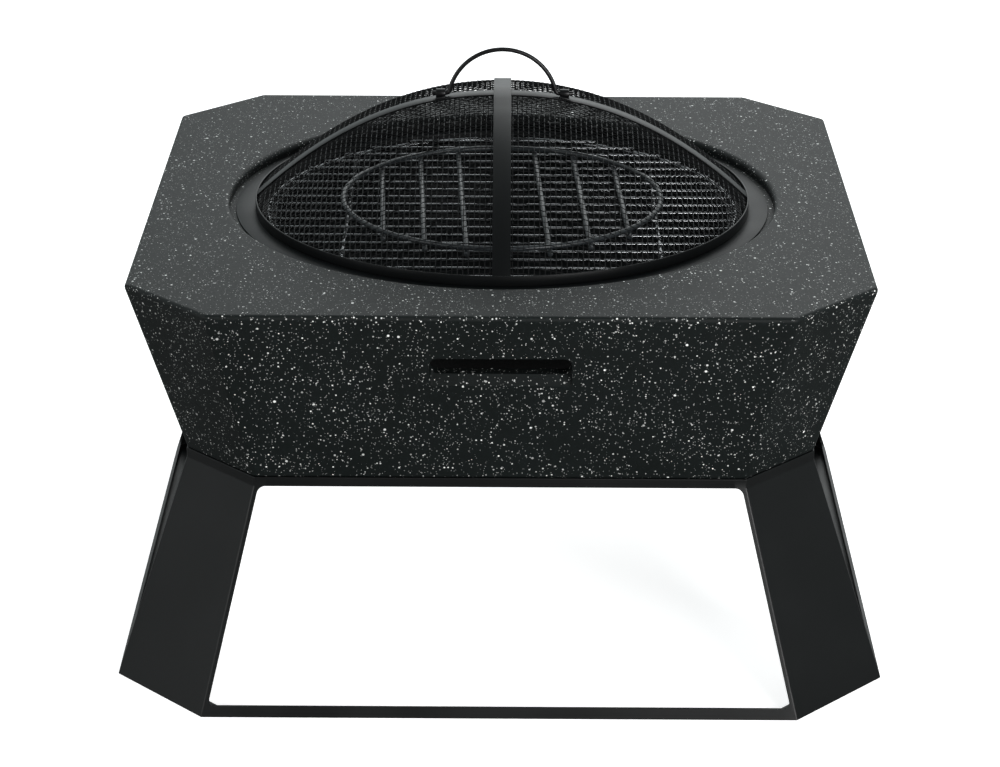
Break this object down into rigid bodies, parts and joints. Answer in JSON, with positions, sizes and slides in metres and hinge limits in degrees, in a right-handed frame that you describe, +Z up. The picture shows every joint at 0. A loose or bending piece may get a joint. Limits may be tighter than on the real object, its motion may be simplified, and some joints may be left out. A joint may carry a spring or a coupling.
{
  "type": "fire pit with grate",
  "caption": "Square stone-look fire pit on a flared steel stand, with a steel bowl, a chromed cooking grid, a round log grate and a domed mesh spark screen with a swinging handle.",
  "frame": {"origin": "on the floor, under the middle of the fire pit", "axes": "+Z up, front (a hand slot) towards -Y, +X to the right when seen from the front"},
  "size_m": [0.72, 0.72, 0.5359],
  "materials": {
    "stone": "cast stone-look shell, dark grey with fine white flecks, matt",
    "stand": "black powder coat, satin",
    "bowl": "dark grey heat-resistant paint, matt",
    "grid": "bright chrome plating",
    "grate": "black heat-resistant enamel",
    "screen": "black heat-resistant paint, satin",
    "mesh": "woven wire, black heat-resistant paint",
    "handle": "black heat-resistant paint, satin",
    "insert": "plain",
    "fastener": "black oxide"
  },
  "bodies": {
    "root": {"stone_body": "stone", "leg_front_right": "stand", "leg_back_right": "stand", "leg_back_left": "stand", "leg_front_left": "stand", "top_rail_front": "stand", "top_rail_right": "stand", "top_rail_back": "stand", "top_rail_left": "stand", "floor_rail_front": "stand", "floor_rail_right": "stand", "floor_rail_back": "stand", "floor_rail_left": "stand", "body_inserts": "insert", "body_screws": "fastener", "body_washers": "fastener"},
    "bowl": {"fire_bowl": "bowl"},
    "grid": {"grid_ring": "grid", "grid_wires": "grid", "grid_bars": "grid"},
    "grate": {"grate_ring": "grate", "grate_bars": "grate"},
    "screen": {"screen_ring": "screen", "screen_mesh": "mesh", "strap_left_right": "screen", "strap_front_back": "screen", "handle_lug_left": "handle", "handle_lug_right": "handle"},
    "handle": {"handle_bail": "handle"}
  },
  "joints": [
    {"name": "bowl_lift", "type": "slide", "parent": "root", "child": "bowl", "axis": [0, 0, 1], "range_m": [0, 0.17]},
    {"name": "grid_lift", "type": "slide", "parent": "bowl", "child": "grid", "axis": [0, 0, 1], "range_m": [0, 0.08]},
    {"name": "grate_lift", "type": "slide", "parent": "grid", "child": "grate", "axis": [0, 0, 1], "range_m": [0, 0.06]},
    {"name": "screen_lift", "type": "slide", "parent": "grate", "child": "screen", "axis": [0, 0, 1], "range_m": [0, 0.12]},
    {"name": "handle_swing", "type": "hinge", "parent": "screen", "child": "handle", "pos_m": [0, 0, 0.49006], "axis": [1, 0, 0], "range_deg": [-86, 86]}
  ]
}
